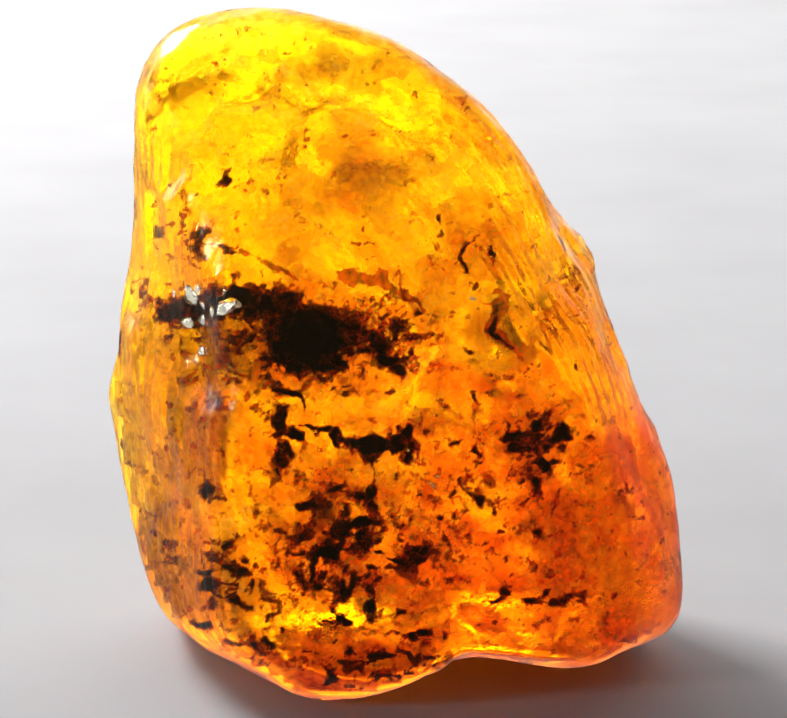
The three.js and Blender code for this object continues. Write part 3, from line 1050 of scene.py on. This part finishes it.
def amber_material():
    """Clear resin: plain transmission and absorption, tinted by its hue with painted glow and painted
    shade in it, and duller on the back.
    """
    graph = Graph("amber resin")
    wears = graph.ramp(WEARS, graph.noise(330, detail=3, roughness=0.65))
    grain = graph.noise(1700, detail=3, roughness=0.65)
    bump = {"Strength": 0.4, "Distance": 0.08 * MM, "Height": grain}
    skin = graph.add("ShaderNodeBsdfPrincipled", {
        "Transmission Weight": 1,
        "IOR": AMBER_IOR,
        "Specular Tint": (0.5, 0.38, 0.18, 1),
        # The skin's tint, with a painted glow and painted shade in it.
        "Base Color": graph.ramp(TINTS_WITH_PAINTED_LIGHT, graph.layer("hue_and_painted_light")),
        "Roughness": graph.multiply_add(graph.layer("rind"), 0.3, wears),
        "Normal": graph.add("ShaderNodeBump", bump, "Normal"),
    })
    absorption = {"Color": (0.985, 0.895, 0.02, 1), "Density": 260}
    return graph.finish(skin, graph.add("ShaderNodeVolumeAbsorption", absorption))


def debris_material():
    """Bark and leaf: nearly black where it is thick, and a glowing red-brown at its thin torn edges."""
    graph = Graph("dark plant debris")
    mottled = graph.multiply_add(graph.noise(1200, detail=3), 0.5, graph.layer("thickness"))
    colours = graph.ramp(BARKS, mottled)
    bark = {"Roughness": 0.6, "Specular IOR Level": 0.2, "Base Color": colours}
    solid = graph.add("ShaderNodeBsdfPrincipled", bark)
    through = graph.add("ShaderNodeBsdfTranslucent", {"Color": colours})
    return graph.finish_film(graph.mix(0.5, solid, through), graph.ramp(BARK_EDGES, mottled))


def spangle_material():
    graph = Graph("silvery crack")
    colours = graph.ramp(SILVERS, graph.noise(3000))
    silver = {"Metallic": 0.9, "Roughness": 0.22, "Base Color": colours}
    return graph.finish(graph.add("ShaderNodeBsdfPrincipled", silver))


def film_material(name, scale, colours, edges, translucent, hued_with_painted_light=False):
    """A film of cloudy or stained resin: light scatters both ways where it is thick, and passes elsewhere.
    A film hued with painted light takes its hue, painted glow and painted shade from its mesh; others are
    thinned by their mesh's thickness."""
    graph = Graph(name)
    density = graph.noise(scale, roughness=0.68)
    shade = graph.noise(HUE_SCALE, detail=2)
    # The mesh's hue carries a painted glow and painted shade into the film.
    if hued_with_painted_light:
        shade = graph.multiply_add(graph.layer("hue_and_painted_light"), 1.0, shade)
    else:
        density = graph.multiply_add(graph.layer("thickness"), 0.45, density)
    hues = graph.ramp(colours, shade)
    back = graph.add("ShaderNodeBsdfDiffuse", {"Color": hues})
    through = graph.add("ShaderNodeBsdfTranslucent", {"Color": hues})
    return graph.finish_film(graph.mix(translucent, back, through), graph.ramp(edges, density))


# ---------------------------------------------------------------- veils of cloudy resin

def make_veil(name, share, seed, material):
    """A wavy sheet of cloudy resin all round, at a share of the way from the middle to the skin."""
    mesh = welded_lump()
    middle = np.array(MIDDLE)
    out = get_points(mesh) - middle
    wave = share + 0.07 * noise(out, 9 * MM, seed) + 0.03 * noise(out, 3.5 * MM, seed + 1)
    set_points(mesh, keep_inside(middle + out * wave[:, None]))
    # The veil's hue, with painted glow and painted shade in it.
    add_hue_and_painted_light(mesh)
    add_inclusion(name, mesh, material)


def make_crust():
    """A cloudy layer just below the back, with ragged edges, that scatters the light from behind."""
    material = film_material("cloudy crust", 300, CRUSTS, CRUST_EDGES, 0.75)
    mesh = welded_lump()
    points, normals = get_points(mesh), get_normals(mesh)
    triangles = get_triangles(mesh)
    value = normals @ CRUST_WAY - 0.05 + 0.32 * octaves(points, 5 * MM, 701, 4, 0.6)
    inside = points - normals * CRUST_DEPTH
    make_patches("back_crust", inside, -normals, triangles, value, 0, material)


# ---------------------------------------------------------------- stage

def make_stage():
    """A plain pale floor and an even, dim studio round it."""
    graph = Graph("pale floor")
    colours = graph.ramp(FLOOR_GREYS, graph.noise(40))
    paint = {"Roughness": 0.8, "Specular IOR Level": 0.1, "Base Color": colours}
    material = graph.finish(graph.add("ShaderNodeBsdfPrincipled", paint))
    corners = [(x * FLOOR_HALF, y * FLOOR_HALF, 0) for x, y in ((-1, -1), (1, -1), (1, 1), (-1, 1))]
    mesh = bpy.data.meshes.new("floor")
    mesh.from_pydata(corners, [], [(0, 1, 2, 3)])
    floor = add_object("floor", mesh, material)
    floor.visible_glossy = False  # as through a polarising filter: no white sheen off the floor

    world = bpy.data.worlds.new("studio")
    bpy.context.scene.world = world
    world.use_nodes = True
    background = world.node_tree.nodes["Background"]
    background.inputs["Color"].default_value = (0.95, 0.96, 1.0, 1)
    background.inputs["Strength"].default_value = 0.2


def add_softbox(name, place, size, radiance, colour=(1, 1, 1)):
    """A soft rectangular light that faces the stone and isn't seen itself."""
    light = bpy.data.lights.new(name, "AREA")
    light.shape = "RECTANGLE"
    light.size, light.size_y = size
    light.energy = radiance * math.pi * size[0] * size[1]
    light.color = colour
    lamp = bpy.data.objects.new(name, light)
    bpy.context.scene.collection.objects.link(lamp)
    lamp.location = place
    lamp.rotation_euler = (MIDDLE - Vector(place)).to_track_quat("-Z", "Y").to_euler()
    lamp.visible_camera = False
    return lamp


def make_lights():
    """A broad low wall of light and a key light behind the stone, and a small softbox in front."""
    wall = add_softbox("back wall", (-0.15, 1.15, 0.34), (2.6, 0.7), 20)
    wall.visible_glossy = False
    key = add_softbox("back key", (-0.30, 0.36, 0.38), (0.2, 0.2), 110)
    key.visible_glossy = False
    add_softbox("front softbox", FRONT_SOFTBOX, (0.09, 0.09), 65, (0.92, 0.92, 1.0))


# ---------------------------------------------------------------- the whole scene

amber = make_skin(amber_material())
SKIN = amber.data
SKIN_TREE = tree_of(SKIN)
make_camera()
make_stage()
make_lights()
make_spangles()
bark = debris_material()
make_front_debris(bark)
make_back_debris(bark)
# The veils' hues carry a painted glow, palest high on the left.
cloudy = film_material("cloudy resin", 220, CLOUDS_WITH_PAINTED_GLOW, CLOUD_EDGES, 0.6, hued_with_painted_light=True)
make_veil("outer_cloud", 0.86, 201, cloudy)
make_veil("middle_cloud", 0.66, 211, cloudy)
make_veil("inner_cloud", 0.42, 221, cloudy)
make_crust()

scene = bpy.context.scene
scene.view_settings.view_transform = "Standard"
scene.cycles.max_bounces = 12
scene.cycles.diffuse_bounces = 4
scene.cycles.glossy_bounces = 5
scene.cycles.transmission_bounces = 10
scene.cycles.transparent_max_bounces = 24
